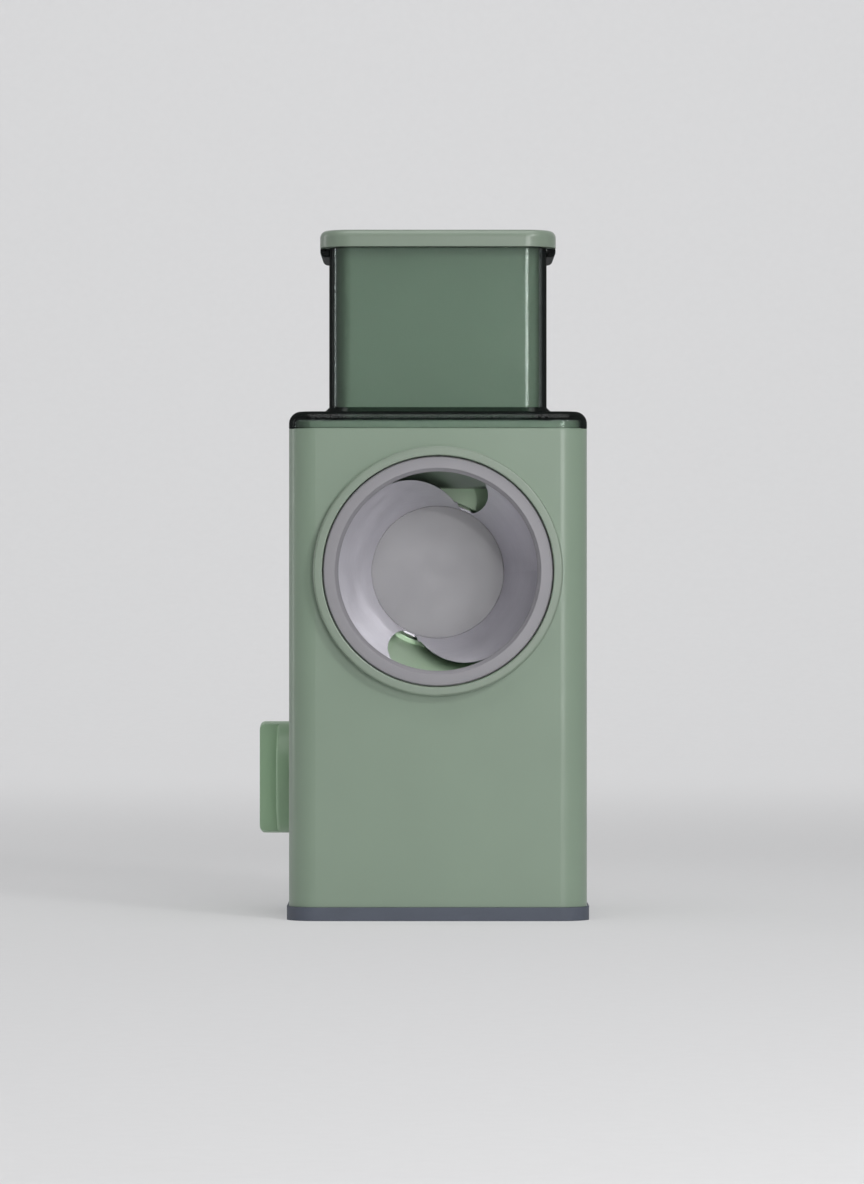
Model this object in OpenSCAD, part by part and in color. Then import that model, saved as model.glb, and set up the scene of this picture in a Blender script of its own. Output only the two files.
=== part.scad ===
// Hand-cranked rotary vegetable cutter with a feed hopper, a pull-out slicing drum and a suction base.
// Millimetres, +Z up. The drum's mouth faces -Y, the crank is at +Y and the suction knob at -X.
// The origin is the centre of the foot's underside.

/* [Body] */
// Width of the body across its front
body_w = 110; // [106:1:124]
// Depth of the body from front face to back face
body_d = 104; // [104:1:112]
// Room left over the drum's chamber, under the body's top wall
crown_gap = 4.05; // [3.5:0.05:12]
// Radius of the body's upright corners
corner_r = 10; // [8:0.5:12]
// Wall of the body shell
wall = 2.4; // [2:0.1:2.8]
// Height of the locating lip that stands on the body's top face
lip_h = 2.6; // [1.5:0.1:3]

/* [Foot] */
// Height of the rubber foot that shows under the body
foot_h = 5; // [4.5:0.5:7]
// How far the foot stands out past the body all round
foot_proud = 0.8; // [0:0.1:1.5]
// Radius of the suction cup
cup_r = 42; // [38:1:43]

/* [Drum] */
// Height of the drum's axis above the table
axis_z = 128.5; // [126:0.5:130]
// Outer radius of the drum's front ring
ring_r = 42.2; // [41.5:0.1:43]
// Inner radius of the drum's mouth
mouth_r = 36.6; // [35.5:0.1:37]
// Length of the drum's front ring
ring_len = 11; // [9:0.5:12]
// Inner radius of the steel cone at its back end
cone_back_r = 25.4; // [24.5:0.1:26.5]
// Thickness of the drum's steel sheet
sheet = 0.8; // [0.6:0.1:1]
// Height of the cutting edges above the steel cone
blade_h = 1.2; // [0.8:0.1:1.6]

/* [Front collar] */
// How far the collar stands out from the body's front face
collar_h = 4.5; // [3.5:0.5:6]
// Width of the collar's visible ring
collar_w = 3.4; // [3.2:0.1:4.2]

/* [Hopper and pusher] */
// Outside width of the hopper's column
column_w = 80.8; // [78:0.2:82]
// Outside depth of the hopper's column
column_d = 72; // [70:1:72]
// Radius of the hopper column's upright corners
column_r = 8; // [6:0.5:9]
// Wall of the hopper
hopper_wall = 2; // [1.6:0.1:2.2]
// Height of the hopper's cover over the body's top face
cover_h = 6.4; // [6:0.1:8]
// Height of the hopper's column above the cover
column_h = 61; // [50:0.5:75]
// How far the column's two side ledges and the cap stand out
ledge_w = 3.4; // [2.5:0.1:4]
// Thickness of the side ledges
ledge_t = 3; // [2:0.1:4]
// Height of the pusher's cap
cap_h = 6.3; // [5:0.1:9]

/* [Crank] */
// Distance from the drum's axis to the grip's axis
crank_r = 74; // [60:1:80]
// Length of the grip
grip_len = 50; // [42:1:60]
// Greatest radius of the grip
grip_r = 12; // [10.5:0.5:14]

/* [Suction lock] */
// Height of the knob's axis above the table
knob_z = 51.2; // [50:0.2:54]
// Radius of the suction knob
knob_r = 21; // [18:0.5:22]
// How far the knob stands out from the body's side
knob_proud = 11.9; // [10.5:0.1:14]
// Lift of the suction cup's centre when the knob is locked
cup_lift = 4; // [3:0.2:4.4]

/* [Hidden] */
$fn = 64;
EPS = 0.01;

// clearances
fit_gap = 0.05;        // pieces pushed or bonded together
slide_gap = 0.3;       // pieces that slide or lift off
pusher_gap = 0.6;      // pusher to hopper
drum_gap = 1.4;        // cutting edges to the pusher and the chamber
shaft_gap = 0.05;      // shafts in their bores

// body and foot
spigot_t = 1.5;        // tube of the collar that enters the chamber
chamber_wall = 2;
body_top = axis_z + ring_r + slide_gap + spigot_t + fit_gap + chamber_wall + crown_gap + wall;
y_front = -body_d / 2;
y_back = body_d / 2;
shell_in_w = body_w - 2 * wall;
shell_in_d = body_d - 2 * wall;
shell_in_r = corner_r - wall;
floor_t = 2;           // base cover's lower layer, let into the foot
foot_floor = foot_h - floor_t;
cover_step = 2.4;      // base cover's upper layer, inside the shell
foot_let_in = 5;       // from the shell's inner face to the foot's pocket
screw_inset = 6.1;     // screw boss centre to the shell's inner face
screw_x = shell_in_w / 2 - screw_inset;
screw_y = shell_in_d / 2 - screw_inset;
boss_r = 4;
boss_len = 30;

// drum, from its mouth to its back
y_collar = y_front - collar_h;
ring_recess = 1;
y_ring = y_collar + ring_recess;
ring_lip = 5;
ring_bevel = 0.4;      // outer edge of the ring's face
mouth_bevel = 1.3;     // inner edge of the ring's face
y_sheet = y_ring + ring_lip;
sheet_front_r = mouth_r + 0.3;
y_taper = y_ring + ring_len - 1.5;
chamber_back_t = 2.4;
thrust_t = 1.6;
y_chamber_back = y_back - wall;
y_thrust = y_chamber_back - chamber_back_t - thrust_t - 0.2;
hub_flange_t = 2;
hub_flange_r = cone_back_r + sheet;
hub_boss_r = 9.5;
hub_boss_len = 5;
y_hub_end = y_thrust - 0.4;
y_hub_flange = y_hub_end - hub_boss_len - hub_flange_t;
sheet_tail = 4;
y_disc = y_hub_flange - sheet_tail;
drive_af = 8;          // across the flats of the hexagonal drive

// chamber
collar_bore_r = ring_r + slide_gap;
spigot_r = collar_bore_r + spigot_t;
y_spigot_end = y_ring + ring_len + 1.5;
chamber_gap = blade_h + drum_gap + 0.4;
y_mouth_step = y_spigot_end + 1;
tail_gap = 1.2;        // drum's back end to the chamber
tail_bore_r = cone_back_r + sheet + tail_gap;
throat_floor = 18;     // height of the throat's floor over the drum's axis
lug_circle_r = 37.5;
lug_r = 3.6;
lug_len = 11;
lug_angles = [90, 210, 330];

// hopper and pusher
column_in_w = column_w - 2 * hopper_wall;
column_in_d = column_d - 2 * hopper_wall;
column_in_r = column_r - hopper_wall;
lip_gap = 0.4;         // over the body's locating lip
plate_t = cover_h - lip_h - lip_gap;
cap_w = column_w + 2 * ledge_w;
cap_d = column_d + 2 * ledge_w;
ledge_len = column_d - 2 * column_r;
skirt_t = 1.8;
z_cover = body_top + cover_h;
z_plate = z_cover - plate_t;
z_rim = z_cover + column_h;
z_cap = z_rim + slide_gap;
edge_r = 4.4;          // rounding along the cover's upper edge
cap_edge_r = 2.6;      // rounding along the cap's upper edge
ledge_edge_r = 2;      // rounding along the ledges' lower edge
root_chamfer = 2;      // where the column stands on the cover
rib_t = 1.6;           // rib that locates the hopper on the throat
pusher_w = column_in_w - 2 * pusher_gap;
pusher_d = column_in_d - 2 * pusher_gap;
pusher_r = column_in_r - pusher_gap;
pusher_wall = 2;
pusher_skirt = 32;     // height of the pusher's lowest edge over the drum's axis
z_pusher = axis_z + pusher_skirt;
cap_plug = 4;

// crank, from the rear boss backwards
rear_boss_r = 15;
rear_boss_h = 5;
bush_wall = 2;
shaft_r = 6;
bush_bore_r = shaft_r + shaft_gap + bush_wall + fit_gap;
bush_flange_r = 10.5;
bush_flange_t = 1.2;
y_bush_end = y_back + rear_boss_h + bush_flange_t;
y_crank = y_bush_end + slide_gap;
crank_hub_r = 13;
crank_hub_t = 11;
arm_t = 8;
arm_half = 8;
pin_boss_r = 9.5;
pin_r = 3.5;
y_arm = y_crank + 1.5;
y_grip = y_arm + arm_t + 0.4;
y_grip_end = y_grip + grip_len;
pin_head_t = 3;
grip_hollow_r = 7;
grip_hollow_len = 8;

// suction lock
cam_shaft_r = 4;
cam_w = 7;
cam_base_r = 7;        // cam's reach at the bar when released
cam_steps = 18;
cam_sweep = 90;
cam_gap = 0.2;
lift_per_rad = cup_lift / (cam_sweep * PI / 180);
yoke_t = 8;
yoke_bar = 4;
window_half = cam_base_r + cup_lift + 1.8;
window_low = 9;
tower_x = 7;
tower_t = 4;
tower_half = 9;
gusset_w = 14;
gusset_h = 18;
gusset_t = 2.4;
hat_t = 2.5;
hat_guide_h = 6;       // tube on the well that guides the stem
cup_low = 0.2;         // underside of the cup's lip over the table
cup_rim = 5.4;         // width of the cup's clamped rim
cup_hollow = 2.2;      // height of the cup's hollow at its middle
cup_dome = 3.8;        // height of the dome where the boss begins
cup_boss_r = 13;
cup_root_r = 16;
cup_boss_h = 7.8;      // height of the boss over the cup's lip
z_cup_top = cup_low + cup_boss_h;
yoke_flange_t = 2;
yoke_flange_r = 12;
stem_r = 5;
neck_r = 3.9;
stem_bore_len = 14;
clamp_r = 10;          // washer under the cup's middle
clamp_t = 1;
z_hat = z_cup_top + yoke_flange_t + cup_lift + 0.5;
hat_r = cup_r + 0.6;
knob_hub_r = 7;
knob_disc_t = 5;
knob_bar_w = 13;
knob_gap = 0.4;
x_side = -body_w / 2;
x_knob = x_side - knob_proud;

// screws
screw_r = 1.5;
head_r = 3.2;
head_t = 2;

// The slot seen along the drum's axis: what a large sweep circle leaves beside a round head.
sweep_r = 21.1;
sweep_at = [-9.5, 12.7];
head_hole_r = 5.8;
head_at = [12.9, 28.2];
head_lean = 16;
slot_span = 34;        // from the head to past the slot's tail
slot_step = 0.2;       // the slot's straight side stands this much inside its round head
slot_land = 1;         // plain cone between the front ring and the slot

function cone_r(y) = sheet_front_r - (y - y_taper) * (sheet_front_r - cone_back_r) / (y_disc - y_taper);

// Plan outline with round corners.
module rounded_rect(w, d, r) {
    square([w - 2 * r, d], center = true);
    square([w, d - 2 * r], center = true);
    for (sx = [-1, 1], sy = [-1, 1])
        translate([sx * (w / 2 - r), sy * (d / 2 - r)])
            circle(r = r);
}

module block(w, d, r, z0, z1) {
    translate([0, 0, z0])
        linear_extrude(z1 - z0)
            rounded_rect(w, d, r);
}

// Half of a slab's cross-section, from its middle to its rounded upper edge.
module soft_half(half, h, edge) {
    square([half, h - edge]);
    square([half - edge, h]);
    translate([half - edge, h - edge])
        intersection() {
            circle(r = edge);
            square(edge);
        }
}

module soft_section(w, h, edge) {
    soft_half(w / 2, h, edge);
    mirror([1, 0])
        soft_half(w / 2, h, edge);
}

// Slab with round corners whose upper edge is rounded over all round.
module soft_slab(w, d, r, z0, z1, edge) {
    translate([0, 0, z0]) {
        rotate([90, 0, 0])
            linear_extrude(d - 2 * r, center = true)
                soft_section(w, z1 - z0, edge);
        rotate([90, 0, 90])
            linear_extrude(w - 2 * r, center = true)
                soft_section(d, z1 - z0, edge);
        for (sx = [-1, 1], sy = [-1, 1])
            translate([sx * (w / 2 - r), sy * (d / 2 - r), 0])
                rotate_extrude()
                    soft_half(r, z1 - z0, edge);
    }
}

module rod_y(r, y0, y1, fn = $fn) {
    translate([0, y0, 0])
        rotate([-90, 0, 0])
            cylinder(r = r, h = y1 - y0, $fn = fn);
}

module cone_y(r0, r1, y0, y1) {
    translate([0, y0, 0])
        rotate([-90, 0, 0])
            cylinder(r1 = r0, r2 = r1, h = y1 - y0);
}

module rod_x(r, x0, x1) {
    translate([x0, 0, 0])
        rotate([0, 90, 0])
            cylinder(r = r, h = x1 - x0);
}

module hex_y(af, y0, y1) {
    rod_y(af / sqrt(3), y0, y1, 6);
}

// Puts a piece that is drawn about the Y axis on the drum's axis.
module on_axis() {
    translate([0, 0, axis_z])
        children();
}

module at_base_screws() {
    for (sx = [-1, 1], sy = [-1, 1])
        translate([sx * screw_x, sy * screw_y, 0])
            children();
}

module at_lugs() {
    for (a = lug_angles)
        rotate([0, a, 0])
            translate([lug_circle_r, 0, 0])
                children();
}

// Two copies, half a turn apart about the drum's axis.
module both_sides() {
    for (a = [0, 180])
        rotate([0, a, 0])
            children();
}

// ---- body ----

module body_shell() {
    color("#8fa98f")
        difference() {
            union() {
                difference() {
                    block(body_w, body_d, corner_r, foot_h, body_top);
                    block(shell_in_w, shell_in_d, shell_in_r, foot_h - EPS, body_top - wall);
                }
                // locating lip under the hopper's skirt
                difference() {
                    lip_block(0, body_top - EPS, body_top + lip_h);
                    lip_block(hopper_wall, body_top - 1, body_top + lip_h + 1);
                }
                on_axis()
                    rod_y(rear_boss_r, y_back - EPS, y_back + rear_boss_h);
                base_bosses();
            }
            // opening for the chamber's throat
            block(column_w + 2 * slide_gap, column_d + 2 * slide_gap, column_r + slide_gap,
                body_top - wall - 1, body_top + 1);
            on_axis() {
                rod_y(spigot_r + fit_gap, y_front - 1, y_front + wall + 1);
                rod_y(bush_bore_r, y_back - wall - 1, y_back + rear_boss_h + 1);
                at_lugs()
                    rod_y(screw_r + 0.2, y_back - wall - 1, y_back + 1);
            }
            translate([0, 0, knob_z])
                rod_x(knob_hub_r + slide_gap, x_side - 1, x_side + wall + 1);
            at_base_screws()
                translate([0, 0, foot_h])
                    cylinder(r = screw_r, h = boss_len / 2 + cover_step);
        }
}

module lip_block(inset, z0, z1) {
    lip_in = skirt_t + slide_gap + inset;
    block(body_w - 2 * lip_in, body_d - 2 * lip_in, corner_r - lip_in, z0, z1);
}

// Screw bosses in the shell's lower corners, each tied to both walls.
module base_bosses() {
    tie = screw_inset - 2 + wall / 2;
    at_base_screws()
        translate([0, 0, foot_h + cover_step])
            cylinder(r = boss_r, h = boss_len);
    for (sx = [-1, 1], sy = [-1, 1])
        translate([sx * screw_x, sy * screw_y, foot_h + cover_step]) {
            translate([sx > 0 ? 2 : -2 - tie, -1, 0])
                cube([tie, 2, boss_len]);
            translate([-1, sy > 0 ? 2 : -2 - tie, 0])
                cube([2, tie, boss_len]);
        }
}

// Barrel round the drum with the throat that leads down to it.
module drum_chamber() {
    y_mouth = y_front + wall;
    r_step = cone_r(y_mouth_step) + sheet + chamber_gap;
    r_shoulder = cone_back_r + sheet + chamber_gap;
    z_throat = axis_z + throat_floor;
    color("#86a186")
        difference() {
            union() {
                on_axis() {
                    rod_y(spigot_r + fit_gap + chamber_wall, y_mouth, y_mouth_step + chamber_wall);
                    cone_y(r_step + chamber_wall, r_shoulder + chamber_wall, y_mouth_step, y_disc);
                    rod_y(r_shoulder + chamber_wall, y_disc - EPS, y_disc + chamber_wall);
                    rod_y(tail_bore_r + chamber_wall, y_disc, y_chamber_back);
                    at_lugs() {
                        rod_y(lug_r, y_chamber_back - lug_len, y_chamber_back);
                        translate([-lug_circle_r + tail_bore_r + 1, y_chamber_back - lug_len, -1.2])
                            cube([lug_circle_r - tail_bore_r - 2, lug_len, 2.4]);
                    }
                }
                block(column_w, column_d, column_r, z_throat - chamber_wall, z_plate - slide_gap);
            }
            block(column_in_w, column_in_d, column_in_r, z_throat, z_plate + 1);
            on_axis() {
                rod_y(spigot_r + fit_gap, y_mouth - 1, y_mouth_step);
                cone_y(r_step, r_shoulder, y_mouth_step - EPS, y_disc);
                rod_y(tail_bore_r, y_disc - EPS, y_chamber_back - chamber_back_t);
                rod_y(bush_bore_r, y_chamber_back - chamber_back_t - 1, y_chamber_back + 1);
                at_lugs()
                    rod_y(screw_r, y_chamber_back - lug_len + 2, y_chamber_back + 1);
            }
        }
}

// Ring that clamps the chamber's mouth to the shell and carries the drum's front ring.
module front_collar() {
    flange_r = collar_bore_r + collar_w;
    bead = 0.8;
    color("#a6bba3")
        on_axis()
            rotate([-90, 0, 0])
                rotate_extrude()
                    difference() {
                        union() {
                            translate([collar_bore_r, y_collar + bead])
                                square([collar_w, collar_h - bead]);
                            translate([collar_bore_r + bead / 2, y_collar])
                                square([collar_w - 1.5 * bead, collar_h]);
                            translate([flange_r - bead, y_collar + bead])
                                circle(r = bead);
                            translate([collar_bore_r, y_collar + bead / 2])
                                square([collar_w / 2, bead]);
                            translate([collar_bore_r + bead / 2, y_collar + bead / 2])
                                circle(r = bead / 2);
                            translate([collar_bore_r, y_front - EPS])
                                square([spigot_t, y_spigot_end - y_front]);
                        }
                        translate([collar_bore_r - bead, y_collar - 1])
                            square([bead, y_spigot_end - y_collar + 2]);
                    }
}

module rear_bush() {
    color("#e4e4e0")
        on_axis()
            difference() {
                union() {
                    rod_y(bush_bore_r - fit_gap, y_chamber_back - chamber_back_t, y_bush_end - EPS);
                    rod_y(bush_flange_r, y_back + rear_boss_h, y_bush_end);
                }
                rod_y(shaft_r + shaft_gap, y_chamber_back - chamber_back_t - 1, y_bush_end + 1);
            }
}

// Pan-head screw along +Z with its head's seat at z = 0, head below, and a cross recess.
module screw(len) {
    difference() {
        union() {
            cylinder(r = screw_r - fit_gap, h = len);
            translate([0, 0, -head_t])
                cylinder(r1 = head_r - 0.5, r2 = head_r, h = head_t);
        }
        for (a = [0, 90])
            rotate(a)
                translate([-1.9, -0.35, -head_t - 1])
                    cube([3.8, 0.7, 2]);
    }
}

module chamber_screws() {
    color("#b9bcc0")
        on_axis()
            at_lugs()
                translate([0, y_back, 0])
                    rotate([90, 0, 0])
                        screw(wall + lug_len - 3);
}

// ---- foot ----

module foot_pad() {
    pocket_w = shell_in_w - foot_let_in;
    pocket_d = shell_in_d - foot_let_in;
    color("#5a6069")
        difference() {
            block(body_w + 2 * foot_proud, body_d + 2 * foot_proud, corner_r + foot_proud, 0, foot_h);
            block(pocket_w, pocket_d, shell_in_r - foot_let_in / 2, foot_floor, foot_h + 1);
            translate([0, 0, -1])
                cylinder(r = hat_r, h = foot_h);
            at_base_screws()
                translate([0, 0, -1])
                    cylinder(r = head_r + 1, h = foot_h);
        }
}

// Floor of the body: a plate let into the foot, a raised well over the suction cup, and the cam's two towers.
module base_cover() {
    inner_w = shell_in_w - foot_let_in - 2 * fit_gap;
    inner_d = shell_in_d - foot_let_in - 2 * fit_gap;
    color("#7c9480")
        difference() {
            union() {
                block(inner_w, inner_d, shell_in_r - foot_let_in / 2, foot_floor, foot_h + EPS);
                block(shell_in_w - 2 * slide_gap, shell_in_d - 2 * slide_gap, shell_in_r - slide_gap,
                    foot_h, foot_h + cover_step);
                translate([0, 0, foot_floor])
                    cylinder(r = hat_r + hat_t, h = z_hat + hat_t - foot_floor);
                cylinder_at(stem_r + slide_gap + 3, z_hat, z_hat + hat_t + hat_guide_h);
                for (sx = [-1, 1])
                    tower(sx);
            }
            cylinder_at(cup_r - cup_rim + slide_gap, foot_floor - 1, z_hat);
            cylinder_at(hat_r, foot_h, z_hat);
            cylinder_at(stem_r + slide_gap, z_hat - 1, z_hat + hat_t + hat_guide_h + 1);
            at_base_screws()
                cylinder_at(screw_r + 0.3, foot_floor - 1, foot_h + cover_step + 1);
            translate([0, 0, knob_z])
                rod_x(cam_shaft_r + shaft_gap, -tower_x - tower_t - 1, tower_x + tower_t + 1);
        }
}

module cylinder_at(r, z0, z1) {
    translate([0, 0, z0])
        cylinder(r = r, h = z1 - z0);
}

module tower(side) {
    x0 = side > 0 ? tower_x : -tower_x - tower_t;
    z0 = z_hat + hat_t - EPS;
    translate([x0, -tower_half, z0])
        cube([tower_t, 2 * tower_half, knob_z - z0]);
    translate([0, 0, knob_z])
        rod_x(tower_half, x0, x0 + tower_t);
    // gusset on the tower's outer side
    translate([side > 0 ? x0 + tower_t - EPS : x0 + EPS, gusset_t / 2, z0])
        rotate([90, 0, 0])
            linear_extrude(gusset_t)
                polygon([[0, 0], [side * gusset_w, 0], [0, gusset_h]]);
}

module base_screws() {
    color("#b9bcc0")
        at_base_screws()
            translate([0, 0, foot_floor])
                screw(floor_t + cover_step + boss_len / 2 - 2);
}

// ---- suction lock ----

// Soft cup: a lip on the table, a thin dome and a boss that the stem holds.
module suction_cup() {
    color("#6a7078")
        rotate_extrude()
            polygon([
                [neck_r + fit_gap, cup_low + cup_hollow], [clamp_r + 2, cup_low + cup_hollow],
                [cup_r - 9, cup_low + 0.6], [cup_r - 4, cup_low],
                [cup_r, cup_low], [cup_r, foot_floor - fit_gap],
                [cup_r - cup_rim, foot_floor - fit_gap], [cup_r - cup_rim - 3, cup_low + 2.4],
                [cup_root_r, cup_low + cup_dome], [cup_boss_r, z_cup_top], [neck_r + fit_gap, z_cup_top]
            ]);
}

// Stem that grips the cup and ends in a frame round the cam.
module stem_yoke() {
    z_bar = knob_z + cam_base_r + cam_gap;
    z_low = knob_z - window_low - cup_lift;
    outer = window_half + 3.4;
    color("#d9dad6")
        difference() {
            union() {
                cylinder_at(neck_r, cup_low + cup_hollow, z_cup_top + EPS);
                cylinder_at(yoke_flange_r, z_cup_top, z_cup_top + yoke_flange_t);
                cylinder_at(stem_r, z_cup_top, z_low - yoke_bar + 1);
                translate([-yoke_t / 2, -outer, z_low - yoke_bar])
                    cube([yoke_t, 2 * outer, z_bar + yoke_bar - z_low + yoke_bar]);
            }
            translate([-yoke_t, -window_half, z_low])
                cube([2 * yoke_t, 2 * window_half, z_bar - z_low]);
            cylinder_at(screw_r, cup_low, cup_low + stem_bore_len);
        }
}

module clamp_washer() {
    color("#b9bcc0")
        difference() {
            cylinder_at(clamp_r, cup_low + cup_hollow - clamp_t, cup_low + cup_hollow);
            cylinder_at(screw_r + 0.2, cup_low, cup_low + cup_hollow + 1);
        }
}

module stem_screw() {
    color("#b9bcc0")
        difference() {
            union() {
                cylinder_at(screw_r - fit_gap, cup_low + 1, cup_low + stem_bore_len - 1);
                cylinder_at(head_r, cup_low + 0.1, cup_low + cup_hollow - clamp_t);
            }
            translate([-2, -0.4, cup_low - 1])
                cube([4, 0.8, 1.6]);
        }
}

module cam_shaft() {
    color("#b9bcc0")
        translate([0, 0, knob_z])
            difference() {
                rod_x(cam_shaft_r, x_knob + 4, tower_x + tower_t + 5);
                rod_x(screw_r, x_knob + 3, x_knob + 14);
                // groove for the retaining clip
                difference() {
                    rod_x(cam_shaft_r + 1, tower_x + tower_t + 0.6, tower_x + tower_t + 1.6);
                    rod_x(cam_shaft_r - 0.8, tower_x + tower_t, tower_x + tower_t + 2.5);
                }
            }
}

module shaft_clip() {
    color("#9a9da1")
        translate([0, 0, knob_z])
            difference() {
                rod_x(cam_shaft_r + 2.4, tower_x + tower_t + 0.65, tower_x + tower_t + 1.55);
                rod_x(cam_shaft_r - 0.75, tower_x + tower_t, tower_x + tower_t + 2);
                translate([tower_x + tower_t, -2, -10])
                    cube([2, 4, 10]);
            }
}

// The lobe is an involute, so that the flat bar over it rises evenly with the knob's angle.
function cam_point(a) =
    let (reach = cam_base_r + lift_per_rad * a * PI / 180)
    [reach * sin(a) + lift_per_rad * cos(a), reach * cos(a) - lift_per_rad * sin(a)];

module lift_cam() {
    hub = cam_shaft_r + 1.6;
    reach_end = cam_base_r + cup_lift;
    lobe = [for (i = [0:cam_steps]) cam_point(i * cam_sweep / cam_steps)];
    flank = [[reach_end - 1.6, -lift_per_rad - 1.8], [0, -hub * 0.9], [-hub * 0.9, 0], [-1.5, cam_base_r]];
    color("#e0b040")
        translate([-cam_w / 2, 0, knob_z])
            rotate([90, 0, 90])
                difference() {
                    union() {
                        cylinder(r = hub, h = cam_w);
                        linear_extrude(cam_w)
                            polygon(concat(lobe, flank));
                    }
                    translate([0, 0, -1])
                        cylinder(r = cam_shaft_r + fit_gap, h = cam_w + 2);
                }
}

// Round knob with a finger bar across it.
module lock_knob() {
    x_disc = x_side - knob_gap - knob_disc_t;
    soft = 1.2;
    color("#8fa98f")
        translate([0, 0, knob_z])
            difference() {
                union() {
                    rotate([0, -90, 0])
                        rotate_extrude() {
                            translate([0, -x_side + knob_gap])
                                square([knob_r, knob_disc_t - soft]);
                            translate([0, -x_side + knob_gap])
                                square([knob_r - soft, knob_disc_t]);
                            translate([knob_r - soft, -x_disc - soft])
                                circle(r = soft, $fn = 32);
                        }
                    intersection() {
                        rotate([0, -90, 0])
                            rotate_extrude() {
                                translate([0, -x_disc - 1])
                                    square([knob_r, x_disc - x_knob + 1 - 2]);
                                translate([0, -x_disc - 1])
                                    square([knob_r - 2, x_disc - x_knob + 1]);
                                translate([knob_r - 2, -x_knob - 2])
                                    circle(r = 2, $fn = 32);
                            }
                        translate([x_knob - 1, -knob_bar_w / 2, -knob_r - 1])
                            cube([x_disc - x_knob + 2, knob_bar_w, 2 * knob_r + 2]);
                    }
                    rod_x(knob_hub_r, x_side - knob_gap - 1, x_side + wall + 1.5);
                }
                rod_x(cam_shaft_r + fit_gap, x_knob + 3.9, x_side + wall + 3);
                rod_x(screw_r + 0.2, x_knob - 1, x_knob + 5);
                rod_x(head_r + 0.3, x_knob - 1, x_knob + 2.6);
            }
}

module knob_screw() {
    color("#b9bcc0")
        translate([x_knob + 2.6, 0, knob_z])
            rotate([0, 90, 0])
                screw(9);
}

// ---- hopper and pusher ----

module feed_hopper() {
    guide_w = column_w + 2 * slide_gap;
    guide_d = column_d + 2 * slide_gap;
    guide_r = column_r + slide_gap;
    skirt_in_w = body_w - 2 * skirt_t;
    skirt_in_d = body_d - 2 * skirt_t;
    color("#6f7f78", 0.45)
        difference() {
            union() {
                difference() {
                    soft_slab(body_w, body_d, corner_r, body_top + slide_gap, z_cover, edge_r);
                    block(skirt_in_w, skirt_in_d, corner_r - skirt_t, body_top - 1, z_plate);
                }
                // rib that locates the hopper on the chamber's throat
                difference() {
                    block(guide_w + 2 * rib_t, guide_d + 2 * rib_t, guide_r + rib_t, body_top + 1, z_plate + 1);
                    block(guide_w, guide_d, guide_r, body_top, z_plate);
                }
                block(column_w, column_d, column_r, z_plate, z_rim);
                column_root();
                // ledges along the column's two sides, by which the hopper lifts
                translate([0, 0, z_rim])
                    mirror([0, 0, 1])
                        soft_slab(cap_w, ledge_len, ledge_w, 0, ledge_t, ledge_edge_r);
            }
            block(column_in_w, column_in_d, column_in_r, z_plate - 1, z_rim + 1);
        }
}

// Chamfer all round the column's foot.
module column_root() {
    in = hopper_wall / 2;
    section = [[-in, -in], [root_chamfer, -in], [root_chamfer, 0], [0, root_chamfer], [-in, root_chamfer]];
    translate([0, 0, z_cover]) {
        for (side = [0, 180])
            rotate(side) {
                translate([column_w / 2, column_d / 2 - column_r, 0])
                    rotate([90, 0, 0])
                        linear_extrude(column_d - 2 * column_r)
                            polygon(section);
                translate([-column_w / 2 + column_r, column_d / 2, 0])
                    rotate([90, 0, 90])
                        linear_extrude(column_w - 2 * column_r)
                            polygon(section);
            }
        for (sx = [-1, 1], sy = [-1, 1])
            translate([sx * (column_w / 2 - column_r), sy * (column_d / 2 - column_r), 0])
                rotate_extrude()
                    polygon([for (p = section) [p[0] + column_r, p[1]]]);
    }
}

// Hollow pusher, its underside hollowed to follow the drum.
module pusher_body() {
    clear = sheet + blade_h + drum_gap;
    z_hollow = axis_z + cone_r(-pusher_d / 2) + clear + pusher_wall;
    hollow_w = pusher_w - 2 * pusher_wall;
    hollow_d = pusher_d - 2 * pusher_wall;
    color("#6f927d")
        difference() {
            block(pusher_w, pusher_d, pusher_r, z_pusher, z_cap);
            block(hollow_w, hollow_d, pusher_r - pusher_wall, z_hollow, z_cap + 1);
            on_axis()
                cone_y(cone_r(-pusher_d) + clear, cone_r(pusher_d) + clear, -pusher_d, pusher_d);
        }
}

module pusher_cap() {
    plug_gap = pusher_wall + fit_gap;
    plug_wall = 1.5;
    plug_w = pusher_w - 2 * plug_gap;
    plug_d = pusher_d - 2 * plug_gap;
    plug_r = pusher_r - plug_gap;
    color("#93ad93")
        union() {
            soft_slab(cap_w, cap_d, column_r + ledge_w, z_cap, z_cap + cap_h, cap_edge_r);
            difference() {
                block(plug_w, plug_d, plug_r, z_cap - cap_plug, z_cap + 1);
                block(plug_w - 2 * plug_wall, plug_d - 2 * plug_wall, plug_r - plug_wall,
                    z_cap - cap_plug - 1, z_cap);
            }
        }
}

// ---- drum ----

module drum_front_ring() {
    seat_r = sheet_front_r + sheet + fit_gap;
    color("#b9b7bc")
        on_axis()
            rotate([-90, 0, 0])
                rotate_extrude()
                    polygon([
                        [mouth_r + mouth_bevel, y_ring], [ring_r - ring_bevel, y_ring],
                        [ring_r, y_ring + ring_bevel], [ring_r, y_ring + ring_len],
                        [seat_r, y_ring + ring_len], [seat_r, y_sheet],
                        [mouth_r, y_sheet], [mouth_r, y_ring + mouth_bevel]
                    ]);
}

module slot_outline() {
    difference() {
        translate(head_at) {
            circle(r = head_hole_r);
            rotate(head_lean)
                translate([-slot_span, 0])
                    square([slot_span + head_hole_r - slot_step, mouth_r]);
        }
        translate(sweep_at)
            circle(r = sweep_r);
    }
}

// Solid that reaches from the mouth to the hub, with a front-view outline.
module through_drum(y0, y1) {
    translate([0, y1, 0])
        rotate([90, 0, 0])
            linear_extrude(y1 - y0)
                children();
}

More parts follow.
